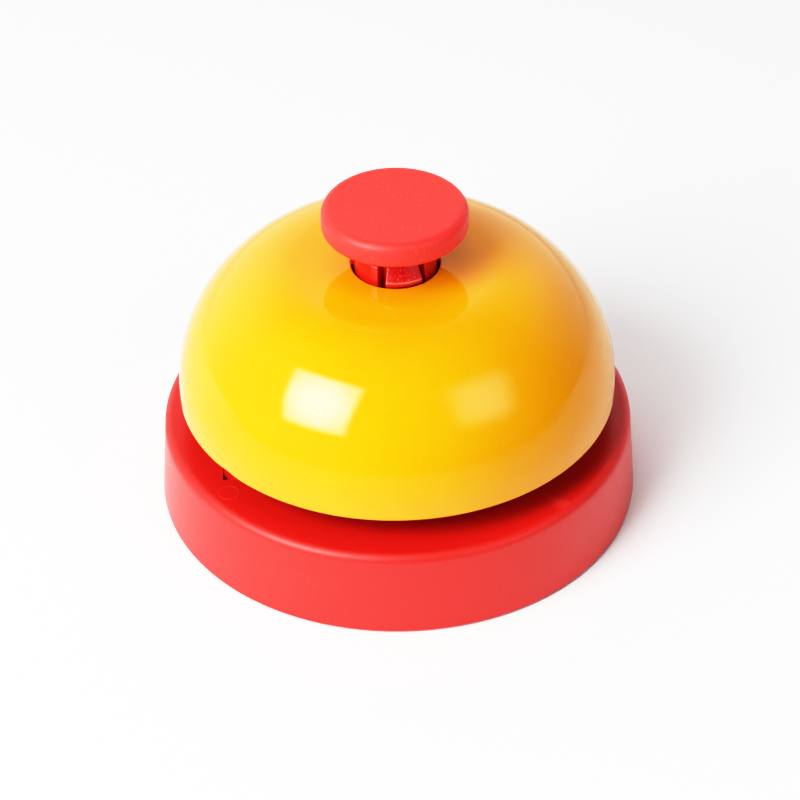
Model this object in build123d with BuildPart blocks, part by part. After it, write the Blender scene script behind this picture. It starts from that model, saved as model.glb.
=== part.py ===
from build123d import *
import os
from math import sin, cos, radians

# Counter service bell, press-button type.  Millimetres, +Z up, Z is the bell's axis.
# Origin: centre of the base, on the surface that the foot pads stand on.
# The front of the bell, the side a guest sees, faces -Y.

os.makedirs("parts", exist_ok=True)

# ---------------------------------------------------------------- driving sizes
BASE_R = 42.5            # base radius at its bottom edge
BASE_R_TOP = 41.3        # base radius at its top edge (moulding draft)
BASE_Z0 = 0.3            # lower lip of the base shell
BASE_TOP = 15.9          # top face of the base
BASE_WALL = 2.2          # side wall
DECK = 2.2               # thickness of the base's top plate
DECK_UNDER = BASE_TOP - DECK

WINDOW_X = (-30.3, -25.8)          # snap window in the deck, near the bell's rim;
WINDOW_Y = (-20.2, -16.6)          # a second one stands opposite
WINDOW_TURNS = (0.0, 180.0)
TURNS = (0.0, 120.0, 240.0)

COVER_R = 40.0           # bottom cover
COVER_Z0, COVER_Z1 = 1.1, 2.7
FOOT_R = 4.5             # foot pads
FOOT_PCR = 31.0
FOOT_T = 1.7
FOOT_AZ = (45.0, 135.0, 225.0, 315.0)

SCREW_PCR = 12.0         # screws that hold the post to the deck
SCREW_AZ = (90.0, 210.0, 330.0)
SCREW_R = 1.25
PILOT_R = 1.30
CLEAR_R = 1.70
SCREW_HEAD_R = 2.90
SCREW_TOP = 18.4

FLANGE_R = 16.5          # bell post
FLANGE_TOP = 19.0
CHEEK_Y0, CHEEK_Y1 = 6.2, 8.6      # two cheeks carry the striker's pin
CHEEK_X0, CHEEK_X1 = -13.6, 8.0
BARREL_R = 8.8
STEM_R = 3.52            # push stem, running in the post's bore
GUIDE_R = 3.60
GUIDE_Z0, GUIDE_Z1 = 38.2, 43.6
CUP_R = 5.6              # spring cup above the guide
TUBE_R, TUBE_TOP = 5.35, 50.2      # spring tube inside the cup
SHOULDER_R = 10.6
SHOULDER_Z0, SHOULDER_Z1 = 42.2, 45.2
COLLAR_R = 7.2           # collar that stands in the bell's hole
COLLAR_TOP = 50.6
WASHER_TOP = 46.15

BELL_T = 0.8             # steel sheet
RIM_R, RIM_Z = 38.46, 21.5
SKIRT_R, SKIRT_Z = 38.4, 23.7
ARC1_R, ARC1_A0, ARC1_A1 = 25.6, 1.5, 50.0
ARC2_R = 18.6
HOLE_R = 7.6

HEAD_R = 12.54           # push button
HEAD_Z0, HEAD_Z1 = 54.5, 58.8
PRESS = 3.5              # button travel

PIVOT_X, PIVOT_Z = -9.0, 32.0      # striker pivot, parallel to Y
PIN_R = 1.0
ARM_L = 22.47            # pivot to hammer centre
ARM_REST = -22.5         # arm angle at rest, degrees above horizontal
ROCKER_REST = 12.0       # inner lever angle at rest
HAMMER_R = 3.8
NOSE_Z = 34.98           # rounded lower tip of the stem

SPRING_R, WIRE_R, SPRING_TURNS = 4.45, 0.35, 6.5


def polar(radius, azimuth):
    return (radius * cos(radians(azimuth)), radius * sin(radians(azimuth)))


def upright(azimuth):
    """vertical plane through the Z axis: local x is radial, local y is up"""
    a = radians(azimuth)
    return Plane(origin=(0, 0, 0), x_dir=(cos(a), sin(a), 0), z_dir=(sin(a), -cos(a), 0))


def arc_pts(c, r, s, e):
    return [(c[0] + r * cos(t), c[1] + r * sin(t)) for t in (s, (s + e) / 2, e)]


# ---------------------------------------------------------------- bell
# straight skirt, one broad arc for the shoulder, a tighter arc up to a flat crown
a0, a1, a2 = radians(ARC1_A0), radians(ARC1_A1), radians(90)
C1 = (SKIRT_R - ARC1_R * cos(a0), SKIRT_Z - ARC1_R * sin(a0))
P1 = (C1[0] + ARC1_R * cos(a1), C1[1] + ARC1_R * sin(a1))
C2 = (P1[0] - ARC2_R * cos(a1), P1[1] - ARC2_R * sin(a1))
BELL_TOP = C2[1] + ARC2_R
CROWN_UNDER = BELL_TOP - BELL_T

with BuildPart() as bell_dome:
    with BuildSketch(Plane.XZ):
        with BuildLine():
            o1 = arc_pts(C1, ARC1_R, a0, a1)
            o2 = arc_pts(C2, ARC2_R, a1, a2)
            i1 = arc_pts(C1, ARC1_R - BELL_T, a0, a1)
            i2 = arc_pts(C2, ARC2_R - BELL_T, a1, a2)
            Line((RIM_R, RIM_Z), o1[0])
            ThreePointArc(*o1)
            ThreePointArc(*o2)
            Line(o2[2], (HOLE_R, BELL_TOP))
            Line((HOLE_R, BELL_TOP), (HOLE_R, CROWN_UNDER))
            Line((HOLE_R, CROWN_UNDER), i2[2])
            ThreePointArc(*i2[::-1])
            ThreePointArc(*i1[::-1])
            Line(i1[0], (RIM_R - BELL_T, RIM_Z))
            Line((RIM_R - BELL_T, RIM_Z), (RIM_R, RIM_Z))
        make_face()
    revolve(axis=Axis.Z)
    # soft edges on the trimmed rim, and a rounded upper edge on the punched hole
    fillet(bell_dome.edges().filter_by(GeomType.CIRCLE).group_by(Axis.Z)[0], 0.3)
    fillet(bell_dome.edges().filter_by(GeomType.CIRCLE)
           .filter_by(lambda e: abs(e.radius - HOLE_R) < 0.01).sort_by(Axis.Z)[-1], 0.3)
bell_dome.part.label = "bell_dome"
export_step(bell_dome.part, "parts/bell_dome.step")

# ---------------------------------------------------------------- base shell
with BuildPart() as base_shell:
    with BuildSketch(Plane.XZ):
        with BuildLine():
            Polyline((0, DECK_UNDER), (0, BASE_TOP), (BASE_R_TOP, BASE_TOP), (BASE_R, BASE_Z0),
                     (BASE_R - BASE_WALL, BASE_Z0), (BASE_R - BASE_WALL, COVER_Z1 + 0.1),
                     (BASE_R_TOP - BASE_WALL - 0.4, DECK_UNDER), close=True)
        make_face()
    revolve(axis=Axis.Z)
    fillet(base_shell.edges().filter_by(GeomType.CIRCLE).group_by(Axis.Z)[-1], 1.0)
    fillet(base_shell.edges().filter_by(GeomType.CIRCLE).group_by(Axis.Z)[0].sort_by(SortBy.RADIUS)[-1], 0.35)
    # four short ribs down the wall: the cover stops against their lower ends
    with BuildSketch(Plane.XY.offset(COVER_Z1 + 0.1)):
        with PolarLocations(BASE_R - BASE_WALL - 1.6, 4, start_angle=0):
            Rectangle(3.0, 1.6)
    extrude(amount=DECK_UNDER - COVER_Z1 + 0.1)
    # locating ring under the deck, round the screw heads
    with BuildSketch(Plane.XY.offset(DECK_UNDER - 1.2)):
        Circle(18.6)
        Circle(17.2, mode=Mode.SUBTRACT)
    extrude(amount=1.4)
    # screw holes
    with Locations(*[(*polar(SCREW_PCR, az), DECK_UNDER) for az in SCREW_AZ]):
        Cylinder(CLEAR_R, 3 * DECK, mode=Mode.SUBTRACT)
    # snap windows
    for turn in WINDOW_TURNS:
        with BuildSketch(Plane.XY.offset(DECK_UNDER - 0.5).rotated((0, 0, turn))):
            with Locations(((WINDOW_X[0] + WINDOW_X[1]) / 2, (WINDOW_Y[0] + WINDOW_Y[1]) / 2)):
                Rectangle(WINDOW_X[1] - WINDOW_X[0], WINDOW_Y[1] - WINDOW_Y[0])
        extrude(amount=DECK + 1.0, mode=Mode.SUBTRACT)
    # shallow round ejector mark beside the left window
    with Locations((-29.1, -23.7, BASE_TOP)):
        Cylinder(1.75, 0.12, mode=Mode.SUBTRACT)
base_shell.part.label = "base_shell"
export_step(base_shell.part, "parts/base_shell.step")

# ---------------------------------------------------------------- bottom cover with two snap legs
with BuildPart() as bottom_cover:
    with BuildSketch(Plane.XY.offset(COVER_Z0)):
        Circle(COVER_R)
    extrude(amount=COVER_Z1 - COVER_Z0)
    chamfer(bottom_cover.edges().filter_by(GeomType.CIRCLE).group_by(Axis.Z)[0], 0.4)
    # foot recesses, open downwards
    with Locations(*[(*polar(FOOT_PCR, az), COVER_Z0) for az in FOOT_AZ]):
        Cylinder(FOOT_R + 0.25, 2 * (FOOT_T - COVER_Z0), mode=Mode.SUBTRACT)
    # stiffening ring inside
    with BuildSketch(Plane.XY.offset(COVER_Z1 - 0.2)):
        Circle(24.0)
        Circle(22.8, mode=Mode.SUBTRACT)
    extrude(amount=2.8)
    # snap legs: a flat leg with a hooked nose that catches on the deck's upper face
    for turn in WINDOW_TURNS:
        with BuildSketch(Plane.YZ.rotated((0, 0, turn)).offset(WINDOW_X[0] + 0.2)):
            with BuildLine():
                Polyline((-20.0, COVER_Z1 - 0.2), (-20.0, BASE_TOP - 1.1), (-18.8, BASE_TOP - 0.9),
                         (-18.4, BASE_TOP + 1.2), (-17.8, BASE_TOP + 1.3), (-16.1, BASE_TOP + 0.55),
                         (-16.1, BASE_TOP + 0.15), (-17.9, BASE_TOP + 0.15), (-17.9, 4.4), (-17.0, COVER_Z1 - 0.2),
                         close=True)
            make_face()
        extrude(amount=WINDOW_X[1] - WINDOW_X[0] - 0.4)
    # thumbnail notch at the front edge, to lift the cover
    with Locations((0, -COVER_R, COVER_Z0)):
        Cylinder(2.0, 1.6, mode=Mode.SUBTRACT)
bottom_cover.part.label = "bottom_cover"
export_step(bottom_cover.part, "parts/bottom_cover.step")

# ---------------------------------------------------------------- foot pads
with BuildPart() as foot_pad_rear_right:
    with BuildSketch(Plane.XY):
        with Locations(polar(FOOT_PCR, FOOT_AZ[0])):
            Circle(FOOT_R)
    extrude(amount=FOOT_T)
    fillet(foot_pad_rear_right.edges().filter_by(GeomType.CIRCLE).group_by(Axis.Z)[0], 0.4)
foot_pad_rear_right.part.label = "foot_pad_rear_right"
export_step(foot_pad_rear_right.part, "parts/foot_pad_rear_right.step")

with BuildPart() as foot_pad_rear_left:
    with BuildSketch(Plane.XY):
        with Locations(polar(FOOT_PCR, FOOT_AZ[1])):
            Circle(FOOT_R)
    extrude(amount=FOOT_T)
    fillet(foot_pad_rear_left.edges().filter_by(GeomType.CIRCLE).group_by(Axis.Z)[0], 0.4)
foot_pad_rear_left.part.label = "foot_pad_rear_left"
export_step(foot_pad_rear_left.part, "parts/foot_pad_rear_left.step")

with BuildPart() as foot_pad_front_left:
    with BuildSketch(Plane.XY):
        with Locations(polar(FOOT_PCR, FOOT_AZ[2])):
            Circle(FOOT_R)
    extrude(amount=FOOT_T)
    fillet(foot_pad_front_left.edges().filter_by(GeomType.CIRCLE).group_by(Axis.Z)[0], 0.4)
foot_pad_front_left.part.label = "foot_pad_front_left"
export_step(foot_pad_front_left.part, "parts/foot_pad_front_left.step")

with BuildPart() as foot_pad_front_right:
    with BuildSketch(Plane.XY):
        with Locations(polar(FOOT_PCR, FOOT_AZ[3])):
            Circle(FOOT_R)
    extrude(amount=FOOT_T)
    fillet(foot_pad_front_right.edges().filter_by(GeomType.CIRCLE).group_by(Axis.Z)[0], 0.4)
foot_pad_front_right.part.label = "foot_pad_front_right"
export_step(foot_pad_front_right.part, "parts/foot_pad_front_right.step")

# ---------------------------------------------------------------- bell post
# One moulding: flange, two cheeks, guide barrel, shoulder that the bell sits over,
# and the slotted collar whose three fingers snap over the edge of the bell's hole.
SMOOTH_A = (43.7, 95.0)            # plain collar segments, from the front towards +X
FINGER_A = (-12.4, 35.0)           # snap fingers
with BuildPart() as bell_post:
    with BuildSketch(Plane.XY.offset(BASE_TOP)):
        Circle(FLANGE_R)
    extrude(amount=FLANGE_TOP - BASE_TOP)
    chamfer(bell_post.edges().filter_by(GeomType.CIRCLE).group_by(Axis.Z)[-1], 0.5)
    # cheeks
    with BuildSketch(Plane.XY.offset(FLANGE_TOP - 0.2)):
        for s in (-1, 1):
            with Locations(((CHEEK_X0 + CHEEK_X1) / 2, s * (CHEEK_Y0 + CHEEK_Y1) / 2)):
                Rectangle(CHEEK_X1 - CHEEK_X0, CHEEK_Y1 - CHEEK_Y0)
    extrude(amount=GUIDE_Z0 - FLANGE_TOP + 0.6)
    # the cheeks' striker side slopes back to the barrel above the pin
    with BuildSketch(Plane.XZ.offset(-10)):
        with BuildLine():
            Polyline((-15.0, 33.6), (-15.0, 40.0), (-7.0, 40.0), (-11.2, 35.4), (-13.0, 33.6), close=True)
        make_face()
    extrude(amount=20, mode=Mode.SUBTRACT)
    # bridge between the cheeks, under the striker arm
    with Locations(((CHEEK_X0 - 11.4) / 2, 0, 24.7)):
        Box(-11.4 - CHEEK_X0, 2 * CHEEK_Y0 + 1.0, 4.0)
    # guide barrel and shoulder
    with BuildSketch(Plane.XZ):
        with BuildLine():
            Polyline((0, GUIDE_Z0), (BARREL_R, GUIDE_Z0), (BARREL_R, 40.4), (SHOULDER_R, SHOULDER_Z0),
                     (SHOULDER_R, SHOULDER_Z1), (0, SHOULDER_Z1), close=True)
        make_face()
    revolve(axis=Axis.Z)
    # outer stiffening webs up the cheeks
    for s in (-1, 1):
        with BuildSketch(Plane.YZ.offset(-0.8)):
            with BuildLine():
                Polyline((s * 8.0, FLANGE_TOP - 0.3), (s * 13.2, FLANGE_TOP - 0.3), (s * 9.6, 34.0),
                         (s * 8.6, 38.6), (s * 8.0, 38.6), close=True)
            make_face()
        extrude(amount=1.6)
    # collar: three plain segments
    for turn in TURNS:
        with BuildSketch(upright(-90 + SMOOTH_A[0] + turn)):
            with BuildLine():
                Polyline((CUP_R - 0.6, SHOULDER_Z1 - 0.3), (COLLAR_R, SHOULDER_Z1 - 0.3), (COLLAR_R, COLLAR_TOP - 0.7),
                         (COLLAR_R - 0.25, COLLAR_TOP - 0.2), (COLLAR_R - 0.75, COLLAR_TOP),
                         (CUP_R - 0.6, COLLAR_TOP), close=True)
            make_face()
        revolve(axis=Axis.Z, revolution_arc=SMOOTH_A[1] - SMOOTH_A[0])
    # collar: three snap fingers, a ridge over the hole's edge and a sloping lead-in above it
    for turn in TURNS:
        with BuildSketch(upright(-90 + FINGER_A[0] + turn)):
            with BuildLine():
                Polyline((CUP_R - 0.6, SHOULDER_Z1 - 0.3), (COLLAR_R, SHOULDER_Z1 - 0.3), (COLLAR_R, BELL_TOP + 0.25),
                         (7.7, BELL_TOP + 0.25), (7.9, BELL_TOP + 0.5), (7.9, BELL_TOP + 1.05),
                         (6.7, 50.2), (6.5, COLLAR_TOP - 0.1), (CUP_R - 0.6, COLLAR_TOP - 0.1), close=True)
            make_face()
        revolve(axis=Axis.Z, revolution_arc=FINGER_A[1] - FINGER_A[0])
    # the fingers are cut free down into the shoulder
    for turn in TURNS:
        for lo, hi in ((-25.0, FINGER_A[0]), (FINGER_A[1], SMOOTH_A[0])):
            with BuildSketch(upright(-90 + lo + turn)):
                with Locations(((CUP_R + COLLAR_R) / 2, SHOULDER_Z1)):
                    Rectangle(COLLAR_R - CUP_R + 0.4, 3.0)
            revolve(axis=Axis.Z, revolution_arc=hi - lo, mode=Mode.SUBTRACT)
    # guide bore and spring cup
    with Locations((0, 0, (GUIDE_Z0 + GUIDE_Z1) / 2)):
        Cylinder(GUIDE_R, GUIDE_Z1 - GUIDE_Z0 + 2, mode=Mode.SUBTRACT)
    with Locations((0, 0, (GUIDE_Z1 + COLLAR_TOP + 2) / 2)):
        Cylinder(CUP_R, COLLAR_TOP + 2 - GUIDE_Z1, mode=Mode.SUBTRACT)
    # thin tube that guides the spring, standing inside the fingers with room for them to flex
    with BuildSketch(Plane.XY.offset(GUIDE_Z1 - 0.2)):
        Circle(TUBE_R)
        Circle(TUBE_R - 0.38, mode=Mode.SUBTRACT)
    extrude(amount=TUBE_TOP - GUIDE_Z1 + 0.2)
    # blind screw pilots
    with Locations(*[(*polar(SCREW_PCR, az), BASE_TOP) for az in SCREW_AZ]):
        Cylinder(PILOT_R, 2 * (SCREW_TOP + 0.1 - BASE_TOP), mode=Mode.SUBTRACT)
    # pin bore through both cheeks
    with Locations(Location((PIVOT_X, 0, PIVOT_Z), (90, 0, 0))):
        Cylinder(PIN_R + 0.02, 22, mode=Mode.SUBTRACT)
bell_post.part.label = "bell_post"
export_step(bell_post.part, "parts/bell_post.step")

# ---------------------------------------------------------------- post screws
with BuildPart() as post_screws:
    with Locations(*[(*polar(SCREW_PCR, az), (DECK_UNDER + SCREW_TOP) / 2) for az in SCREW_AZ]):
        Cylinder(SCREW_R, SCREW_TOP - DECK_UNDER)
    with Locations(*[(*polar(SCREW_PCR, az), DECK_UNDER - 0.9) for az in SCREW_AZ]):
        Cylinder(SCREW_HEAD_R, 1.8)
    fillet(post_screws.edges().filter_by(GeomType.CIRCLE).group_by(Axis.Z)[0], 0.8)
    chamfer(post_screws.edges().filter_by(GeomType.CIRCLE).group_by(Axis.Z)[-1], 0.4)
    with Locations(*[(*polar(SCREW_PCR, az), DECK_UNDER - 1.8) for az in SCREW_AZ]):
        Box(3.0, 0.7, 1.8, mode=Mode.SUBTRACT)
        Box(0.7, 3.0, 1.8, mode=Mode.SUBTRACT)
post_screws.part.label = "post_screws"
export_step(post_screws.part, "parts/post_screws.step")

# ---------------------------------------------------------------- washer that the bell sits on
with BuildPart() as seat_washer:
    with BuildSketch(Plane.XY.offset(SHOULDER_Z1)):
        Circle(10.3)
        Circle(COLLAR_R + 0.1, mode=Mode.SUBTRACT)
    extrude(amount=WASHER_TOP - SHOULDER_Z1)
seat_washer.part.label = "seat_washer"
export_step(seat_washer.part, "parts/seat_washer.step")

# ---------------------------------------------------------------- push button
with BuildPart() as push_button:
    with BuildSketch(Plane.XZ):
        with BuildLine():
            Polyline((0, HEAD_Z0), (HEAD_R, HEAD_Z0), (HEAD_R, HEAD_Z1), (0, HEAD_Z1), close=True)
        make_face()
    revolve(axis=Axis.Z)
    fillet(push_button.edges().filter_by(GeomType.CIRCLE).group_by(Axis.Z)[-1], 1.5)
    fillet(push_button.edges().filter_by(GeomType.CIRCLE).group_by(Axis.Z)[0], 0.8)
    # hollow underside round a central boss, with six ribs
    with BuildSketch(Plane.XY.offset(HEAD_Z0)):
        Circle(HEAD_R - 1.7)
        Circle(5.3, mode=Mode.SUBTRACT)
        with PolarLocations(8.0, 6, start_angle=30):
            Rectangle(7.0, 1.0, mode=Mode.SUBTRACT)
    extrude(amount=2.6, mode=Mode.SUBTRACT)
    with Locations((0, 0, HEAD_Z0 + 0.9)):
        Cylinder(2.6, 4.0, mode=Mode.SUBTRACT)
push_button.part.label = "push_button"
export_step(push_button.part, "parts/push_button.step")

# ---------------------------------------------------------------- push stem
with BuildPart() as plunger_stem:
    with BuildSketch(Plane.XZ):
        with BuildLine():
            nose = arc_pts((0, NOSE_Z + 2.0), 2.0, radians(-90), radians(-16.86))
            ThreePointArc(*nose)
            Polyline(nose[2], (2.9, nose[2][1]), (2.9, 36.9), (2.4, 36.9), (2.4, 37.5), (STEM_R, 37.5),
                     (STEM_R, HEAD_Z0), (2.6, HEAD_Z0), (2.6, HEAD_Z0 + 2.6), (2.3, HEAD_Z0 + 2.9),
                     (0, HEAD_Z0 + 2.9), nose[0])
        make_face()
    revolve(axis=Axis.Z)
plunger_stem.part.label = "plunger_stem"
export_step(plunger_stem.part, "parts/plunger_stem.step")

# ---------------------------------------------------------------- clip and stop washer on the stem
with BuildPart() as stem_clip:
    with BuildSketch(Plane.XY.offset(36.92)):
        Circle(4.9)
        Circle(2.42, mode=Mode.SUBTRACT)
        with Locations((3.6, 0)):
            Rectangle(4.0, 3.4, mode=Mode.SUBTRACT)
    extrude(amount=0.56)
stem_clip.part.label = "stem_clip"
export_step(stem_clip.part, "parts/stem_clip.step")

with BuildPart() as stop_washer:
    with BuildSketch(Plane.XY.offset(37.5)):
        Circle(5.5)
        Circle(STEM_R + 0.05, mode=Mode.SUBTRACT)
    extrude(amount=0.55)
stop_washer.part.label = "stop_washer"
export_step(stop_washer.part, "parts/stop_washer.step")

# ---------------------------------------------------------------- return spring
SPRING_Z0, SPRING_Z1 = GUIDE_Z1 + WIRE_R, HEAD_Z0 - WIRE_R
with BuildPart() as return_spring:
    with BuildLine() as coil:
        Helix(pitch=(SPRING_Z1 - SPRING_Z0) / SPRING_TURNS, height=SPRING_Z1 - SPRING_Z0, radius=SPRING_R,
              center=(0, 0, SPRING_Z0))
    with BuildSketch(Plane(origin=coil.line @ 0, z_dir=coil.line % 0)):
        Circle(WIRE_R)
    sweep(path=coil.line, is_frenet=True)
return_spring.part.label = "return_spring"
export_step(return_spring.part, "parts/return_spring.step")

# ---------------------------------------------------------------- striker
PIVOT = (PIVOT_X, 0, PIVOT_Z)
# local x of this plane runs from the pivot out along the arm, towards the bell's wall
ra = radians(ARM_REST)
ARM_DIR = (-cos(ra), 0, sin(ra))
rb = radians(ROCKER_REST)
LEVER_DIR = (cos(rb), 0, sin(rb))

with BuildPart() as striker_rocker:
    # hub on the pin
    with BuildSketch(Plane.XZ.offset(-5.8)):
        with Locations((PIVOT_X, PIVOT_Z)):
            Circle(2.6)
    extrude(amount=11.6)
    # inner lever under the stem's tip
    with BuildSketch(Plane(origin=PIVOT, x_dir=LEVER_DIR, z_dir=(0, -1, 0)).offset(-3.5)):
        with BuildLine():
            Polyline((0, -0.8), (9.9, -0.8), (10.5, -0.2), (10.5, 0.5), (10.2, 0.8), (0, 0.8), close=True)
        make_face()
    extrude(amount=7.0)
    # socket for the arm
    with BuildSketch(Plane(origin=PIVOT, x_dir=(0, 1, 0), z_dir=ARM_DIR)):
        Circle(2.2)
    extrude(amount=4.4)
    with Locations(Location(PIVOT, (90, 0, 0))):
        Cylinder(PIN_R + 0.06, 20, mode=Mode.SUBTRACT)
    with BuildSketch(Plane(origin=PIVOT, x_dir=(0, 1, 0), z_dir=ARM_DIR).offset(1.6)):
        Circle(1.25)
    extrude(amount=4.0, mode=Mode.SUBTRACT)
striker_rocker.part.label = "striker_rocker"
export_step(striker_rocker.part, "parts/striker_rocker.step")

with BuildPart() as striker_arm:
    with BuildSketch(Plane(origin=PIVOT, x_dir=(0, 1, 0), z_dir=ARM_DIR).offset(1.6)):
        Circle(1.25)
    extrude(amount=ARM_L + 2.2 - 1.6)
    chamfer(striker_arm.edges().filter_by(GeomType.CIRCLE), 0.25)
striker_arm.part.label = "striker_arm"
export_step(striker_arm.part, "parts/striker_arm.step")

with BuildPart() as striker_head:
    # turned hammer: a ball flattened where the arm enters and leaves
    with BuildSketch(Plane(origin=PIVOT, x_dir=ARM_DIR, z_dir=(0, -1, 0))):
        with BuildLine():
            f = 3.2
            g = (HAMMER_R ** 2 - f ** 2) ** 0.5
            Polyline((ARM_L - f, 1.25), (ARM_L - f, g))
            ThreePointArc((ARM_L - f, g), (ARM_L, HAMMER_R), (ARM_L + f, g))
            Polyline((ARM_L + f, g), (ARM_L + f, 0), (ARM_L + 2.2, 0), (ARM_L + 2.2, 1.25), (ARM_L - f, 1.25))
        make_face()
    revolve(axis=Axis(PIVOT, ARM_DIR))
striker_head.part.label = "striker_head"
export_step(striker_head.part, "parts/striker_head.step")

# ---------------------------------------------------------------- striker pin and its push-on caps
with BuildPart() as striker_pin:
    with Locations(Location(PIVOT, (90, 0, 0))):
        Cylinder(PIN_R, 2 * (CHEEK_Y1 + 1.1))
    chamfer(striker_pin.edges().filter_by(GeomType.CIRCLE), 0.2)
striker_pin.part.label = "striker_pin"
export_step(striker_pin.part, "parts/striker_pin.step")

with BuildPart() as pin_caps:
    for s in (-1, 1):
        with BuildSketch(Plane.XZ.offset(-s * (CHEEK_Y1 + 0.45))):
            with Locations((PIVOT_X, PIVOT_Z)):
                Circle(2.2)
                Circle(PIN_R, mode=Mode.SUBTRACT)
        extrude(amount=0.4, both=True)
pin_caps.part.label = "pin_caps"
export_step(pin_caps.part, "parts/pin_caps.step")

# ---------------------------------------------------------------- rest pad on the bridge
with BuildPart() as rest_pad:
    with BuildSketch(Plane.XY.offset(26.7)):
        with Locations(((CHEEK_X0 - 11.4) / 2, 0)):
            Rectangle(-11.4 - CHEEK_X0, 8.0)
    extrude(amount=1.2)
    fillet(rest_pad.edges().group_by(Axis.Z)[-1], 0.25)
rest_pad.part.label = "rest_pad"
export_step(rest_pad.part, "parts/rest_pad.step")
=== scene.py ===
import bpy, bmesh, math
from math import sin, cos, radians, pi, sqrt, tan
from mathutils import Vector, Matrix, noise


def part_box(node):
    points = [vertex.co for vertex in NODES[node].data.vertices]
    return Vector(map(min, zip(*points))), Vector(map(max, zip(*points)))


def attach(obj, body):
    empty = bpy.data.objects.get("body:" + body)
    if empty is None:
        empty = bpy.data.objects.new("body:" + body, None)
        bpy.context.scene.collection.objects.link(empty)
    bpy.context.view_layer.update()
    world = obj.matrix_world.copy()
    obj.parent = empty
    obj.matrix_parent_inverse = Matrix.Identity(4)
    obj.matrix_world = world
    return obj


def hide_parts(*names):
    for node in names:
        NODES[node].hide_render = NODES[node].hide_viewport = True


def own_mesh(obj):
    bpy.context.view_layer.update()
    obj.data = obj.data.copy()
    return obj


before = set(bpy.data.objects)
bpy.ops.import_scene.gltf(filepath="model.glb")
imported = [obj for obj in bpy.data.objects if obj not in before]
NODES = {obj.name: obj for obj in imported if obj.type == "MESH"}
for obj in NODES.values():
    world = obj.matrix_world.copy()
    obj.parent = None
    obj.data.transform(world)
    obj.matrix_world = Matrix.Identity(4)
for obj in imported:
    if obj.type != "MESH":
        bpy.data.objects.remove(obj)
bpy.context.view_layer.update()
S = 0.001                      # the numbers below are in millimetres, like the CAD

# ------------------------------------------------------------------ places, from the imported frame
dome_lo, dome_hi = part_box("bell_dome")
base_lo, base_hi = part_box("base_shell")
head_lo, head_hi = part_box("push_button")
post_lo, post_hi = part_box("bell_post")
RIM_Z = dome_lo.z / S
RIM_R = 38.46
BELL_TOP = dome_hi.z / S
BASE_TOP = base_hi.z / S
BASE_Z0 = base_lo.z / S
HEAD_Z0, HEAD_Z1 = head_lo.z / S, head_hi.z / S
HEAD_R = 12.54
COLLAR_TOP = post_hi.z / S
CUP_R, COLLAR_R, GUIDE_R = 5.6, 7.2, 3.6
GUIDE_Z0, GUIDE_Z1 = 38.2, 43.6
SHOULDER_Z1 = 45.2
TUBE_R, TUBE_TOP = 5.35, 50.2
PIVOT = Vector((-9.0, 0, 32.0))


# ------------------------------------------------------------------ mesh helpers
def make(name, verts, faces, body, mats, angle=35.0, replaces=(), mat_index=None):
    me = bpy.data.meshes.new(name)
    me.from_pydata([tuple(c * S for c in v) for v in verts], [], faces)
    me.validate()
    ob = bpy.data.objects.new(name, me)
    bpy.context.scene.collection.objects.link(ob)
    bm = bmesh.new(); bm.from_mesh(me)
    bmesh.ops.recalc_face_normals(bm, faces=bm.faces[:])
    bm.to_mesh(me); bm.free()
    finish_mesh(ob, mats, angle, mat_index)
    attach(ob, body)
    if replaces:
        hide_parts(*replaces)
    return ob


def finish_mesh(ob, mats, angle=35.0, mat_index=None):
    me = ob.data
    me.materials.clear()
    for m in (mats if isinstance(mats, (list, tuple)) else [mats]):
        me.materials.append(m)
    if mat_index is not None:
        for p in me.polygons:
            p.material_index = mat_index(p.center / S, p.normal)
    me.shade_smooth()
    me.set_sharp_from_angle(angle=radians(angle))
    me.update()


def rounded(pts, closed=True, step=9.0, support=0.12):
    """a polygon [(r, z, fillet)] as a polyline with its corners rounded by arcs, and a supporting point beside each arc"""
    n = len(pts)
    out = []
    for i, p in enumerate(pts):
        r = p[2] if len(p) > 2 else 0.0
        if not closed and i in (0, n - 1):
            r = 0.0
        P = Vector(p[:2])
        if r <= 0:
            out.append(tuple(P)); continue
        A, B = Vector(pts[i - 1][:2]), Vector(pts[(i + 1) % n][:2])
        da, db = (A - P), (B - P)
        la, lb = da.length, db.length
        da, db = da.normalized(), db.normalized()
        half = da.angle(db) / 2
        t = min(r / tan(half), la * 0.49, lb * 0.49)
        r = t * tan(half)
        c = P + (da + db).normalized() * (r / sin(half))
        p0, p1 = P + da * t, P + db * t
        if support and la - t > support * 2.2:
            out.append(tuple(p0 + da * support))
        a0 = math.atan2(p0.y - c.y, p0.x - c.x); a1 = math.atan2(p1.y - c.y, p1.x - c.x)
        d = (a1 - a0 + pi) % (2 * pi) - pi
        k = max(2, int(abs(math.degrees(d)) / step + 0.5))
        for j in range(k + 1):
            a = a0 + d * j / k
            out.append((c.x + r * cos(a), c.y + r * sin(a)))
        if support and lb - t > support * 2.2:
            out.append(tuple(p1 + db * support))
    return out


def split_long(pts, longest, closed=True):
    out = []
    n = len(pts)
    for i in range(n if closed else n - 1):
        a, b = Vector(pts[i]), Vector(pts[(i + 1) % n])
        k = max(1, int(math.ceil((b - a).length / longest)))
        for j in range(k):
            out.append(tuple(a + (b - a) * j / k))
    if not closed:
        out.append(pts[-1])
    return out


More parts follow.
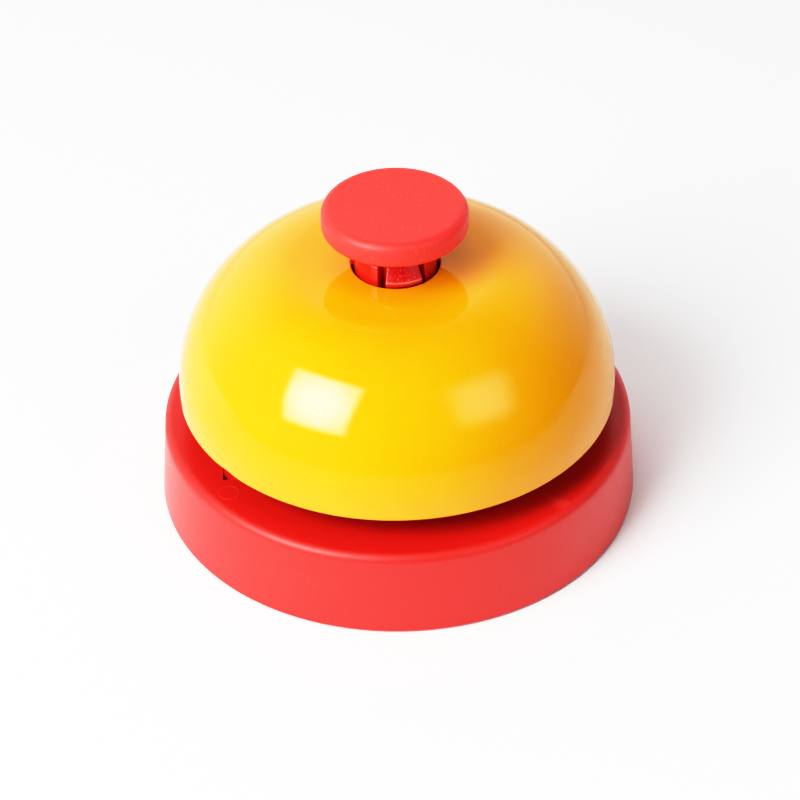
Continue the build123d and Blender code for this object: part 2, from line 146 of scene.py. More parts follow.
def lathe(profile, segs, closed=True, warp=None, offset=(0, 0, 0)):
    """verts, faces of a profile [(r, z)] turned round Z; a point with r = 0 becomes one pole vertex"""
    verts, rings = [], []
    for (r, z) in profile:
        if r < 1e-6:
            rings.append([len(verts)]); verts.append((offset[0], offset[1], z + offset[2]))
        else:
            ring = []
            for k in range(segs):
                a = 2 * pi * k / segs
                x, y, zz = r * cos(a), r * sin(a), z
                if warp:
                    x, y, zz = warp(x, y, zz)
                ring.append(len(verts)); verts.append((x + offset[0], y + offset[1], zz + offset[2]))
            rings.append(ring)
    faces = []
    m = len(profile)
    for i in range(m if closed else m - 1):
        A, B = rings[i], rings[(i + 1) % m]
        if len(A) == 1 and len(B) == 1:
            continue
        for k in range(segs):
            k2 = (k + 1) % segs
            if len(A) == 1:
                faces.append((A[0], B[k2], B[k]))
            elif len(B) == 1:
                faces.append((A[k], A[k2], B[0]))
            else:
                faces.append((A[k], A[k2], B[k2], B[k]))
    return verts, faces


def sector(profile, a0, a1, segs):
    """a closed solid: the profile swept from angle a0 to a1 (degrees) with end caps"""
    verts, faces = [], []
    m = len(profile)
    for k in range(segs + 1):
        a = radians(a0 + (a1 - a0) * k / segs)
        for (r, z) in profile:
            verts.append((r * cos(a), r * sin(a), z))
    for k in range(segs):
        for i in range(m):
            j = (i + 1) % m
            faces.append((k * m + i, k * m + j, (k + 1) * m + j, (k + 1) * m + i))
    faces.append(tuple(range(m)))
    faces.append(tuple(segs * m + i for i in reversed(range(m))))
    return verts, faces


def raw(name, verts, faces):
    me = bpy.data.meshes.new(name)
    me.from_pydata([tuple(c * S for c in v) for v in verts], [], faces)
    bm = bmesh.new(); bm.from_mesh(me)
    bmesh.ops.recalc_face_normals(bm, faces=bm.faces[:])
    bm.to_mesh(me); bm.free()
    ob = bpy.data.objects.new(name, me)
    bpy.context.scene.collection.objects.link(ob)
    return ob


def raw_box(name, lo, hi, matrix=None):
    v = [(x, y, z) for x in (lo[0], hi[0]) for y in (lo[1], hi[1]) for z in (lo[2], hi[2])]
    if matrix is not None:
        v = [tuple(matrix @ Vector(p)) for p in v]
    f = [(0, 1, 3, 2), (4, 6, 7, 5), (0, 4, 5, 1), (2, 3, 7, 6), (0, 2, 6, 4), (1, 5, 7, 3)]
    return raw(name, v, f)


def raw_prism(name, poly, y0, y1, matrix=None):
    """a polygon [(x, z)] extruded from y0 to y1"""
    n = len(poly)
    v = [(x, y0, z) for x, z in poly] + [(x, y1, z) for x, z in poly]
    if matrix is not None:
        v = [tuple(matrix @ Vector(p)) for p in v]
    f = [tuple(range(n)), tuple(reversed(range(n, 2 * n)))]
    f += [(i, (i + 1) % n, n + (i + 1) % n, n + i) for i in range(n)]
    return raw(name, v, f)


def raw_cyl(name, r, z0, z1, centre=(0, 0), segs=48, matrix=None):
    v, f = lathe([(0, z0), (r, z0), (r, z1), (0, z1)], segs, closed=False, offset=(centre[0], centre[1], 0))
    if matrix is not None:
        v = [tuple(matrix @ Vector(p)) for p in v]
    return raw(name, v, f)


def boolean(target, tools, op):
    for t in tools:
        m = target.modifiers.new("b", "BOOLEAN")
        m.operation = op
        m.solver = "EXACT"
        m.object = t
    apply_mods(target)
    for t in tools:
        me = t.data
        bpy.data.objects.remove(t)
        bpy.data.meshes.remove(me)
    return target


def apply_mods(ob):
    bpy.context.view_layer.update()
    dg = bpy.context.evaluated_depsgraph_get()
    me = bpy.data.meshes.new_from_object(ob.evaluated_get(dg))
    old = ob.data
    ob.modifiers.clear()
    name = old.name
    ob.data = me
    bpy.data.meshes.remove(old)
    me.name = name
    return ob


def bevel(ob, width, segments=2, angle=30.0):
    m = ob.modifiers.new("bevel", "BEVEL")
    m.width = width * S
    m.segments = segments
    m.limit_method = "ANGLE"
    m.angle_limit = radians(angle)
    m.use_clamp_overlap = True
    m.harden_normals = False
    return ob


def adopt(ob, name, body, mats, angle=35.0, replaces=(), mat_index=None):
    ob.name = name
    ob.data.name = name
    finish_mesh(ob, mats, angle, mat_index)
    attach(ob, body)
    if replaces:
        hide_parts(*replaces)
    return ob


def rot_z(deg):
    return Matrix.Rotation(radians(deg), 4, "Z")


# ------------------------------------------------------------------ materials
class Mat:
    def __init__(self, name):
        self.m = bpy.data.materials.new(name)
        self.m.use_nodes = True
        self.nt = self.m.node_tree
        self.nt.nodes.clear()
        self.out = self.nt.nodes.new("ShaderNodeOutputMaterial")
        self.p = self.nt.nodes.new("ShaderNodeBsdfPrincipled")
        self.nt.links.new(self.p.outputs[0], self.out.inputs[0])
        self.tc = self.nt.nodes.new("ShaderNodeTexCoord").outputs["Object"]

    def set(self, **kw):
        for k, v in kw.items():
            self.p.inputs[k.replace("_", " ")].default_value = v
        return self

    def noise(self, scale, detail=4.0, rough=0.55, stretch=(1, 1, 1), dist=0.0, seed=0.0):
        mp = self.nt.nodes.new("ShaderNodeMapping")
        mp.inputs["Scale"].default_value = stretch
        mp.inputs["Location"].default_value = (seed, seed * 0.37, -seed * 0.61)
        self.nt.links.new(self.tc, mp.inputs[0])
        n = self.nt.nodes.new("ShaderNodeTexNoise")
        n.inputs["Scale"].default_value = scale
        n.inputs["Detail"].default_value = detail
        n.inputs["Roughness"].default_value = rough
        n.inputs["Distortion"].default_value = dist
        self.nt.links.new(mp.outputs[0], n.inputs["Vector"])
        return n.outputs[0]

    def voronoi(self, scale, feature="F1", seed=0.0, stretch=(1, 1, 1)):
        mp = self.nt.nodes.new("ShaderNodeMapping")
        mp.inputs["Location"].default_value = (seed, -seed * 0.53, seed * 0.29)
        mp.inputs["Scale"].default_value = stretch
        self.nt.links.new(self.tc, mp.inputs[0])
        v = self.nt.nodes.new("ShaderNodeTexVoronoi")
        v.feature = feature
        v.inputs["Scale"].default_value = scale
        self.nt.links.new(mp.outputs[0], v.inputs["Vector"])
        return v.outputs[0]

    def ramp(self, fac, stops):
        r = self.nt.nodes.new("ShaderNodeValToRGB")
        self.nt.links.new(fac, r.inputs[0])
        e = r.color_ramp.elements
        while len(e) < len(stops):
            e.new(0.5)
        for el, (pos, c) in zip(e, stops):
            el.position = pos
            el.color = c if len(c) == 4 else (*c, 1)
        return r.outputs[0]

    def grey(self, fac, lo, hi, a, b):
        """maps fac from lo..hi to a..b, clamped"""
        m = self.nt.nodes.new("ShaderNodeMapRange")
        m.clamp = True
        self.nt.links.new(fac, m.inputs[0])
        for i, v in zip((1, 2, 3, 4), (lo, hi, a, b)):
            m.inputs[i].default_value = v
        return m.outputs[0]

    def math(self, op, a, b=None):
        m = self.nt.nodes.new("ShaderNodeMath")
        m.operation = op
        for i, v in enumerate((a, b)):
            if v is None:
                continue
            if isinstance(v, (int, float)):
                m.inputs[i].default_value = v
            else:
                self.nt.links.new(v, m.inputs[i])
        return m.outputs[0]

    def mix(self, fac, a, b, mode="MIX"):
        m = self.nt.nodes.new("ShaderNodeMix")
        m.data_type = "RGBA"
        m.blend_type = mode
        if isinstance(fac, (int, float)):
            m.inputs[0].default_value = fac
        else:
            self.nt.links.new(fac, m.inputs[0])
        for sock, v in ((m.inputs[6], a), (m.inputs[7], b)):
            if isinstance(v, (tuple, list)):
                sock.default_value = v if len(v) == 4 else (*v, 1)
            else:
                self.nt.links.new(v, sock)
        return m.outputs[2]

    def z(self):
        s = self.nt.nodes.new("ShaderNodeSeparateXYZ")
        self.nt.links.new(self.tc, s.inputs[0])
        return s.outputs

    def radius(self, cx=0.0, cy=0.0):
        s = self.z()
        x = self.math("SUBTRACT", s[0], cx)
        y = self.math("SUBTRACT", s[1], cy)
        return self.math("SQRT", self.math("ADD", self.math("MULTIPLY", x, x), self.math("MULTIPLY", y, y)))

    def edges(self):
        g = self.nt.nodes.new("ShaderNodeNewGeometry")
        return g.outputs["Pointiness"]

    def bump(self, layers):
        """layers: [(height, strength, distance in mm)], chained"""
        last = None
        for h, strength, dist in layers:
            b = self.nt.nodes.new("ShaderNodeBump")
            b.inputs["Strength"].default_value = strength
            b.inputs["Distance"].default_value = dist * S
            self.nt.links.new(h, b.inputs["Height"])
            if last is not None:
                self.nt.links.new(last, b.inputs["Normal"])
            last = b.outputs[0]
        self.nt.links.new(last, self.p.inputs["Normal"])
        return last

    def link(self, sock, name):
        self.nt.links.new(sock, self.p.inputs[name])
        return self


def specks(M, scale, size, seed, keep=0.35, stretch=(1, 1, 1)):
    """a mask of sparse round specks: small discs round some of a Voronoi pattern's points"""
    d = M.voronoi(scale, seed=seed, stretch=stretch)
    disc = M.grey(d, size * 0.6, size, 1.0, 0.0)
    sel = M.grey(M.noise(scale * 0.23, 1.0, 0.5, seed=seed + 3.1), 0.5 + keep * 0.25, 0.52 + keep * 0.25, 0.0, 1.0)
    return M.math("MULTIPLY", disc, sel)


def scratches(M, scale, seed, thin=0.018, stretch=(1, 1, 1)):
    d = M.voronoi(scale, "DISTANCE_TO_EDGE", seed=seed, stretch=stretch)
    line = M.grey(d, thin * 0.4, thin, 1.0, 0.0)
    sel = M.grey(M.noise(scale * 0.9, 2.0, 0.5, seed=seed + 5.7), 0.64, 0.70, 0.0, 1.0)
    return M.math("MULTIPLY", line, sel)


YELLOW = (0.80, 0.336, 0.003)
RED = (0.64, 0.020, 0.015)


def bell_paint():
    M = Mat("bell_paint_yellow")
    mottled = M.noise(55, 3, 0.5, seed=1.3)
    col = M.ramp(mottled, [(0.30, (0.80, 0.322, 0.0028)), (0.55, YELLOW), (0.75, (0.81, 0.350, 0.0035))])
    fine = M.noise(900, 2, 0.6, seed=2.0)
    col = M.mix(M.grey(fine, 0.35, 0.75, 0.0, 0.10), col, (0.84, 0.40, 0.02))
    dust = specks(M, 420, 0.085, 4.0, 0.60)
    col = M.mix(M.math("MULTIPLY", dust, 0.30), col, (0.85, 0.60, 0.25))
    # painted shade: the paint colour is darkened along the lowest half millimetre of the rim
    z = M.z()[2]
    rim_painted_shade = M.grey(z, (RIM_Z + 0.10) * S, (RIM_Z + 0.45) * S, 0.55, 0.0)
    col = M.mix(rim_painted_shade, col, (0.70, 0.26, 0.01))
    # painted shade: a dark brown line along the rim's bottom edge, strongest on the left, where that edge faces the
    # dark gap under the bell
    rim_edge_painted_shade = M.math("MULTIPLY", M.grey(z, (RIM_Z + 0.12) * S, (RIM_Z + 0.24) * S, 1.0, 0.0), M.grey(M.z()[0], -0.004, 0.016, 0.92, 0.15))
    col = M.mix(rim_edge_painted_shade, col, (0.16, 0.035, 0.004))
    M.link(col, "Base Color")
    smear = M.noise(38, 5, 0.6, stretch=(1, 1, 2.4), dist=0.6, seed=7.0)
    rough = M.math("ADD", M.grey(smear, 0.35, 0.72, 0.26, 0.34), M.math("MULTIPLY", dust, 0.25))
    M.link(rough, "Roughness")
    M.set(Metallic=0.0, IOR=1.50, Specular_IOR_Level=0.0, Coat_Weight=1.0, Coat_Roughness=0.05, Coat_IOR=1.52)
    peel = M.noise(1100, 2, 0.5, seed=3.0)
    sheet = M.noise(60, 2, 0.45, seed=5.0)
    n = M.bump([(sheet, 0.10, 1.0), (peel, 0.025, 0.10)])
    M.nt.links.new(n, M.p.inputs["Coat Normal"])
    return M.m


def bell_inside():
    M = Mat("bell_inside_thin_paint")
    cover = M.noise(70, 6, 0.62, seed=11.0)
    z = M.z()[2]
    high = M.grey(z, RIM_Z * S, (RIM_Z + 16) * S, 0.0, 0.22)
    fac = M.grey(M.math("ADD", cover, high), 0.50, 0.74, 0.0, 1.0)
    col = M.mix(fac, (0.74, 0.30, 0.006), (0.60, 0.31, 0.06))
    spray = specks(M, 700, 0.22, 12.0, 0.1)
    col = M.mix(M.math("MULTIPLY", spray, 0.5), col, (0.80, 0.36, 0.01))
    M.link(col, "Base Color")
    M.link(M.grey(cover, 0.3, 0.7, 0.34, 0.52), "Roughness")
    M.set(Coat_Weight=0.3, Coat_Roughness=0.25)
    draw = M.noise(500, 3, 0.6, stretch=(1, 1, 0.08), seed=13.0)
    M.bump([(cover, 0.15, 0.25), (draw, 0.12, 0.05)])
    return M.m


def red_plastic(name, rough0, rough1, grain, seed, hue=RED, coat=0.0, gloss_edges=True, haze=0.35, ior=1.50, corner=None):
    M = Mat(name)
    flow = M.noise(26, 2, 0.4, stretch=(1, 1, 2.0), seed=seed)
    dark = (hue[0] * 0.95, hue[1] * 0.80, hue[2] * 0.80)
    light = (min(1, hue[0] * 1.05), hue[1] * 1.20, hue[2] * 1.20)
    col = M.mix(flow, dark, light)
    pig = M.noise(2200, 1, 0.5, seed=seed + 1)
    col = M.mix(M.grey(pig, 0.62, 0.74, 0.0, 0.30), col, (min(1, hue[0] * 1.08), hue[1] * 3.2, hue[2] * 3.0))
    pale = specks(M, 330, 0.070, seed + 2, 0.80)
    dark_s = specks(M, 240, 0.06, seed + 9, 0.70)
    col = M.mix(M.math("MULTIPLY", pale, 0.5), col, (0.85, 0.42, 0.38))
    col = M.mix(M.math("MULTIPLY", dark_s, 0.55), col, (0.16, 0.01, 0.01))
    # handling wear turns sharp edges paler
    if gloss_edges:
        wear = M.grey(M.edges(), 0.515, 0.56, 0.0, 1.0)
        patch = M.grey(M.noise(160, 4, 0.6, seed=seed + 6), 0.42, 0.66, 0.15, 0.65)
        wear = M.math("MULTIPLY", wear, patch)
        col = M.mix(M.math("MULTIPLY", wear, haze), col, (0.86, 0.075, 0.055))
    M.link(col, "Base Color")
    r = M.grey(M.noise(45, 1, 0.4, seed=seed + 3), 0.0, 1.0, rough0, rough1)
    if corner:
        # the rounded top edge is rubbed duller than the faces beside it
        rc, zc, more = corner
        rub = M.math("MULTIPLY", M.grey(M.radius(), (rc - 1.9) * S, (rc - 0.5) * S, 0.0, 1.0), M.grey(M.z()[2], (zc - 2.6) * S, (zc - 1.0) * S, 0.0, 1.0))
        r = M.math("ADD", r, M.math("MULTIPLY", rub, more))
    if gloss_edges:
        r = M.math("ADD", r, M.math("MULTIPLY", wear, 0.45))
    M.link(r, "Roughness")
    M.set(IOR=ior, Coat_Weight=coat, Coat_Roughness=0.08)
    M.bump([(M.noise(42, 2, 0.5, seed=seed + 5), 0.022, 0.5),
            (M.noise(2600, 2, 0.6, seed=seed + 7), grain, 0.03),
            (pale, 0.4, 0.03)])
    return M.m


def metal(name, base, other, r0, r1, seed, brushed=(1, 1, 1), scale=300, bumps=0.12, metallic=1.0):
    M = Mat(name)
    n = M.noise(scale, 5, 0.62, stretch=brushed, seed=seed)
    blot = M.noise(140, 4, 0.6, seed=seed + 2)
    col = M.ramp(blot, [(0.32, other), (0.62, base)])
    scr = scratches(M, 260, seed + 4, 0.014)
    col = M.mix(M.math("MULTIPLY", scr, 0.4), col, tuple(min(1, c * 1.25) for c in base))
    wear = M.grey(M.edges(), 0.52, 0.58, 0.0, 0.5)
    col = M.mix(wear, col, tuple(min(1, c * 1.3) for c in base))
    M.link(col, "Base Color")
    M.link(M.grey(n, 0.3, 0.7, r0, r1), "Roughness")
    M.set(Metallic=metallic)
    M.bump([(n, bumps, 0.03), (scr, -0.3, 0.02)])
    return M.m


def soft(name, base, other, r0, r1, seed, scale=900, bumps=0.5, dist=0.08, pores=True):
    M = Mat(name)
    n = M.noise(scale, 4, 0.6, seed=seed)
    blot = M.noise(120, 4, 0.6, seed=seed + 2)
    col = M.mix(M.grey(n, 0.35, 0.7, 0.0, 0.5), M.ramp(blot, [(0.3, other), (0.65, base)]), tuple(min(1, c * 1.6 + 0.01) for c in base))
    lay = [(n, bumps, dist)]
    if pores:
        v = M.voronoi(scale * 1.6, seed=seed + 5)
        pit = M.grey(v, 0.10, 0.42, 0.0, 1.0)
        # painted shade: the colour is darkened toward the middle of each pore
        col = M.mix(M.grey(v, 0.05, 0.30, 0.55, 0.0), col, tuple(c * 0.35 for c in base))
        lay.append((pit, bumps, dist))
    M.link(col, "Base Color")
    M.link(M.grey(n, 0.3, 0.7, r0, r1), "Roughness")
    M.bump(lay)
    return M.m


PAINT = bell_paint()
INSIDE = bell_inside()
BASE_RED = red_plastic("base_red_plastic", 0.282, 0.318, 0.08, 20.0, ior=1.60, corner=(41.3, BASE_TOP, 0.17))
MARK_RED = red_plastic("base_red_scuffed", 0.30, 0.42, 0.40, 27.0, hue=(0.66, 0.035, 0.028))
CAP_RED = red_plastic("button_red_satin", 0.42, 0.52, 0.30, 31.0, hue=(0.88, 0.046, 0.037), haze=0.5)
POST_RED = red_plastic("post_red_plastic", 0.16, 0.26, 0.10, 42.0)


def finger_plastic():
    M = Mat("finger_red_textured")
    v = M.voronoi(2600, seed=48.0)
    grain = M.grey(v, 0.18, 0.42, 1.0, 0.0)
    patch = M.grey(M.noise(420, 3, 0.6, seed=49.0), 0.42, 0.60, 0.15, 1.0)
    speck = M.math("MULTIPLY", grain, patch)
    col = M.mix(M.math("MULTIPLY", speck, 0.8), (0.58, 0.012, 0.010), (0.86, 0.20, 0.17))
    z = M.z()[2]
    # painted highlight: a paler band along the snap hook's ridge, broken up by noise
    ridge_painted_highlight = M.math("MULTIPLY", M.grey(z, (BELL_TOP + 0.95) * S, (BELL_TOP + 1.02) * S, 0.0, 1.0),
                   M.grey(z, (BELL_TOP + 1.16) * S, (BELL_TOP + 1.34) * S, 1.0, 0.0))
    highlight_breakup = M.grey(M.noise(900, 3, 0.6, seed=50.0), 0.35, 0.55, 0.35, 0.95)
    col = M.mix(M.math("MULTIPLY", ridge_painted_highlight, highlight_breakup), col, (0.90, 0.22, 0.18))
    # painted highlight: the finger's sharp edges are painted paler
    edge = M.grey(M.edges(), 0.515, 0.56, 0.0, 0.8)
    col = M.mix(edge, col, (0.88, 0.16, 0.13))
    M.link(col, "Base Color")
    M.link(M.grey(speck, 0.0, 1.0, 0.30, 0.50), "Roughness")
    M.set(IOR=1.50)
    M.bump([(grain, 0.55, 0.03), (M.noise(700, 3, 0.6, seed=51.0), 0.25, 0.05)])
    return M.m


FINGER_RED = finger_plastic()
COVER_RED = red_plastic("cover_red_matt", 0.42, 0.56, 0.75, 55.0, hue=(0.60, 0.012, 0.009))
STEM_RED = red_plastic("stem_red_plastic", 0.22, 0.34, 0.10, 63.0, hue=(0.66, 0.011, 0.008))
ROCKER = red_plastic("rocker_natural_acetal", 0.30, 0.42, 0.20, 71.0, hue=(0.66, 0.64, 0.58), haze=0.1)
ZINC = metal("zinc_plated_steel", (0.62, 0.63, 0.62), (0.46, 0.47, 0.48), 0.24, 0.42, 81.0)
SPRING = metal("bright_spring_wire", (0.60, 0.61, 0.63), (0.42, 0.43, 0.46), 0.18, 0.32, 85.0, brushed=(1, 1, 1))
BRASS = metal("turned_brass", (0.78, 0.55, 0.25), (0.60, 0.40, 0.17), 0.20, 0.34, 90.0)
FOAM = soft("foot_foam_black", (0.030, 0.030, 0.032), (0.018, 0.018, 0.020), 0.75, 0.92, 95.0)
FIBRE = soft("washer_fibre_grey", (0.10, 0.095, 0.088), (0.05, 0.048, 0.045), 0.7, 0.88, 99.0, scale=1500, pores=False)


# ------------------------------------------------------------------ bell
C1 = (38.4 - 25.6 * cos(radians(1.5)), 23.7 - 25.6 * sin(radians(1.5)))
P1 = (C1[0] + 25.6 * cos(radians(50)), C1[1] + 25.6 * sin(radians(50)))
C2 = (P1[0] - 18.6 * cos(radians(50)), P1[1] - 18.6 * sin(radians(50)))


def arc(c, r, a0, a1, step=1.0):
    k = max(2, int(abs(a1 - a0) / step + 0.5))
    return [(c[0] + r * cos(radians(a0 + (a1 - a0) * j / k)), c[1] + r * sin(radians(a0 + (a1 - a0) * j / k))) for j in range(k + 1)]


T = 0.8
outer = [(RIM_R - 0.02, RIM_Z + 0.6), (38.41, 23.0)] + arc(C1, 25.6, 1.5, 50) + arc(C2, 18.6, 50, 90)[1:]
outer += [(r, BELL_TOP) for r in (15.6, 13.8, 12.0, 10.4, 9.2, 8.3)]
edge_out = rounded([(8.3, BELL_TOP), (7.6, BELL_TOP, 0.3), (7.6, BELL_TOP - T, 0.08), (8.3, BELL_TOP - T)], closed=False, support=0.05)[1:-1]
inner = [(r, BELL_TOP - T) for r in (8.3, 10.4, 13.8)] + arc(C2, 18.6 - T, 90, 50, 2) + arc(C1, 25.6 - T, 50, 1.5, 2)[1:]
edge_rim = rounded([(38.4 - T, 23.0), (RIM_R - T, RIM_Z, 0.3), (RIM_R, RIM_Z, 0.3), (38.42, 23.0)], closed=False, support=0.05)[1:-1]
profile = outer + edge_out + inner + edge_rim


def bell_warp(x, y, z):
    # a stamped sheet is never quite round: a few hundredths of a millimetre of wave, and one small knock in the rim
    r = sqrt(x * x + y * y)
    a = math.atan2(y, x)
    w = 0.035 * sin(2 * a + 0.7) + 0.02 * sin(3 * a + 2.0)
    k = min(1.0, max(0.0, (r - 10) / 28.0))
    r2 = r - abs(w) * k
    d = (a - radians(-139.5) + pi) % (2 * pi) - pi
    lift = max(0.0, 1.0 - (z - RIM_Z) / 1.6) if z < RIM_Z + 1.6 and r > 36 else 0.0
    bump = math.exp(-(d / radians(2.6)) ** 2)
    z2 = z + 0.16 * bump * lift
    r2 -= 0.10 * bump * lift
    return x * r2 / r, y * r2 / r, z2


v, f = lathe(profile, 360, warp=bell_warp)
n_out = len(outer) + 12


def bell_side(c, n):
    r = sqrt(c.x * c.x + c.y * c.y)
    radial = (n.x * c.x + n.y * c.y) / max(r, 1e-6)
    if c.z < RIM_Z + 0.5 or r < 8.2:
        return 0
    d1 = sqrt((r - C1[0]) ** 2 + (c.z - C1[1]) ** 2)
    if r > C2[0]:
        ang = math.degrees(math.atan2(c.z - C1[1], r - C1[0]))
        dd = (d1 - 25.6) if ang < 50 else (sqrt((r - C2[0]) ** 2 + (c.z - C2[1]) ** 2) - 18.6)
        return 1 if dd < -0.4 else 0
    return 1 if c.z < BELL_TOP - 0.4 else 0


bell = make("bell_shell", v, f, "bell", [PAINT, INSIDE], 40, ("bell_dome",), bell_side)

# ------------------------------------------------------------------ base shell
base_prof = rounded([
    (0, BASE_TOP), (41.3, BASE_TOP, 1.5), (42.5, BASE_Z0, 0.35), (40.3, BASE_Z0, 0.25), (40.3, 2.8, 0.1), (38.7, 13.7, 0.8),
    (0, 13.7)], closed=False)
base_prof = split_long(base_prof, 3.0, closed=False)
v, f = lathe(base_prof, 288, closed=False)
base = raw("base_body", v, f)
tools = []
for turn in (0, 180):
    tools.append(raw_box("w", (-30.3, -20.2, 13.0), (-25.8, -16.6, 17.0), rot_z(turn)))
for az in (90, 210, 330):
    tools.append(raw_cyl("s", 1.7, 12.0, 17.5, (12.0 * cos(radians(az)), 12.0 * sin(radians(az))), 32))
boolean(base, tools, "DIFFERENCE")
ribs = []
for az in (0, 90, 180, 270):
    ribs.append(raw_box("r", (37.1, -0.8, 2.8), (40.6, 0.8, 14.2), rot_z(az)))
ring_v, ring_f = lathe([(17.2, 12.5), (18.6, 12.5), (18.6, 14.2), (17.2, 14.2)], 96)
ribs.append(raw("ring", ring_v, ring_f))
boolean(base, ribs, "UNION")
adopt(base, "base_body", "base", BASE_RED, 32, ("base_shell",))

# raised witness ring left by an ejector pin
wv, wf = lathe(rounded([(1.62, BASE_TOP - 0.06), (1.84, BASE_TOP - 0.06), (1.84, BASE_TOP + 0.05, 0.03), (1.62, BASE_TOP + 0.05, 0.03)]), 64,
               offset=(-29.1, -23.7, 0))
make("base_ejector_mark", wv, wf, "base", MARK_RED, 60)

# ------------------------------------------------------------------ bell post
flange = rounded([(0, 15.9), (16.5, 15.9, 0.1), (16.5, 19.0, 0.5), (0, 19.0)], closed=False)
v, f = lathe(split_long(flange, 4.0, False), 128, closed=False)
post = raw("post", v, f)
parts = []
for s in (-1, 1):
    parts.append(raw_prism("cheek", [(-13.6, 18.7), (8.0, 18.7), (8.0, 38.7), (-8.3, 38.7), (-11.2, 35.4), (-13.0, 33.6), (-13.6, 33.6)],
                           s * 6.2, s * 8.6))
    web = [(s * 8.2, 18.7), (s * 13.2, 18.7), (s * 9.6, 34.0), (s * 8.6, 38.4), (s * 8.2, 38.4)]
    parts.append(raw("web", [(-0.8, y, z) for y, z in web] + [(0.8, y, z) for y, z in web],
                     [tuple(range(5)), tuple(reversed(range(5, 10)))] + [(i, (i + 1) % 5, 5 + (i + 1) % 5, 5 + i) for i in range(5)]))
parts.append(raw_box("bridge", (-13.6, -6.7, 22.7), (-11.4, 6.7, 26.7)))
bv, bf = lathe([(3.6, 38.2), (8.8, 38.2), (8.8, 40.4), (10.6, 42.2), (10.6, 45.2), (5.6, 45.2), (5.6, 43.6), (3.6, 43.6)], 128)
parts.append(raw("barrel", bv, bf))
bv, bf = lathe([(TUBE_R - 0.38, 43.4), (TUBE_R, 43.4), (TUBE_R, TUBE_TOP), (TUBE_R - 0.38, TUBE_TOP)], 128)
parts.append(raw("tube", bv, bf))
boolean(post, parts, "UNION")
ycyl = Matrix.Translation((-9.0, 0, 32.0)) @ Matrix.Rotation(radians(90), 4, "X")
tools = [raw_cyl("pinbore", 1.02, -12, 12, segs=32, matrix=ycyl)]
for turn in (0, 120, 240):
    for lo, hi in ((-25.0, -12.4), (35.0, 43.7)):
        sv, sf = sector([(5.3, 43.7), (7.6, 43.7), (7.6, 46.0), (5.3, 46.0)], -90 + lo + turn, -90 + hi + turn, 4)
        tools.append(raw("slot", sv, sf))
boolean(post, tools, "DIFFERENCE")
bevel(post, 0.16, 2, 28)
apply_mods(post)
adopt(post, "post_body", "base", POST_RED, 34, ("bell_post",))

# the slotted collar above the shoulder: three plain segments and three snap fingers
plain = rounded([(5.6, 45.1), (7.2, 45.1), (7.2, COLLAR_TOP, 0.55), (5.6, COLLAR_TOP, 0.3)])
finger = rounded([(5.6, 45.1), (7.2, 45.1), (7.2, BELL_TOP + 0.25, 0.05), (7.7, BELL_TOP + 0.25, 0.06), (7.9, BELL_TOP + 0.5, 0.08),
                  (7.9, BELL_TOP + 1.05, 0.12), (6.7, 50.2, 0.25), (6.5, COLLAR_TOP - 0.1, 0.12), (5.6, COLLAR_TOP - 0.1, 0.2)])
lead = (BELL_TOP + 1.0, 50.3)
for k, turn in enumerate((0, 120, 240)):
    v, f = sector(plain, -90 + 43.7 + turn, -90 + 95.0 + turn, 28)
    ob = raw("seg", v, f)
    bevel(ob, 0.14, 3, 40)
    apply_mods(ob)
    adopt(ob, f"collar_segment_{k + 1}", "base", POST_RED, 34)
    v, f = sector(finger, -90 - 12.4 + turn, -90 + 35.0 + turn, 26)
    ob = raw("fin", v, f)
    bevel(ob, 0.10, 2, 40)
    apply_mods(ob)

    def textured(c, n, mid=radians(-90 + 11.3 + turn)):
        rad = n.x * cos(mid) + n.y * sin(mid)
        return 1 if (c.z > BELL_TOP + 0.9 and c.z < lead[1] and rad > 0.3) else 0
    adopt(ob, f"snap_finger_{k + 1}", "base", [POST_RED, FINGER_RED], 34, (), textured)

# ------------------------------------------------------------------ push button
cap_prof = rounded([
    (0, HEAD_Z1 + 0.0), (HEAD_R, HEAD_Z1, 1.5), (HEAD_R, HEAD_Z0, 0.8), (10.84, HEAD_Z0, 0.25), (10.84, 57.1, 0.5), (5.3, 57.1, 0.4),
    (5.3, HEAD_Z0, 0.25), (3.5, HEAD_Z0, 0.1), (3.5, 56.0), (0, 56.0)], closed=False, step=6.0)
cap_prof = split_long(cap_prof, 1.6, False)


def cap_warp(x, y, z):
    # the moulded top has sunk by a few hundredths of a millimetre in the middle
    r = sqrt(x * x + y * y)
    if z > HEAD_Z1 - 0.4:
        z -= 0.05 * max(0.0, 1.0 - (r / 11.0) ** 2)
    return x, y, z


v, f = lathe(cap_prof, 224, closed=False, warp=cap_warp)
cap = raw("cap", v, f)
ribs = [raw_box("rib", (4.9, -0.5, HEAD_Z0 + 0.35), (11.2, 0.5, 57.5), rot_z(30 + 60 * k)) for k in range(6)]
boolean(cap, ribs, "UNION")
adopt(cap, "button_cap", "plunger", CAP_RED, 32, ("push_button",))

# ------------------------------------------------------------------ stem, spring
stem_prof = rounded([(0, 34.98), (1.2, 35.38, 0.5), (1.914, 36.4, 0.1), (2.9, 36.4, 0.1), (2.9, 36.9, 0.05), (2.4, 36.9, 0.03), (2.4, 37.5, 0.03),
                     (3.52, 37.5, 0.12), (3.52, 54.45, 0.1), (2.6, 54.55), (0, 54.55)], closed=False)
v, f = lathe(stem_prof, 96, closed=False)
make("push_stem", v, f, "plunger", STEM_RED, 34, ("plunger_stem",))


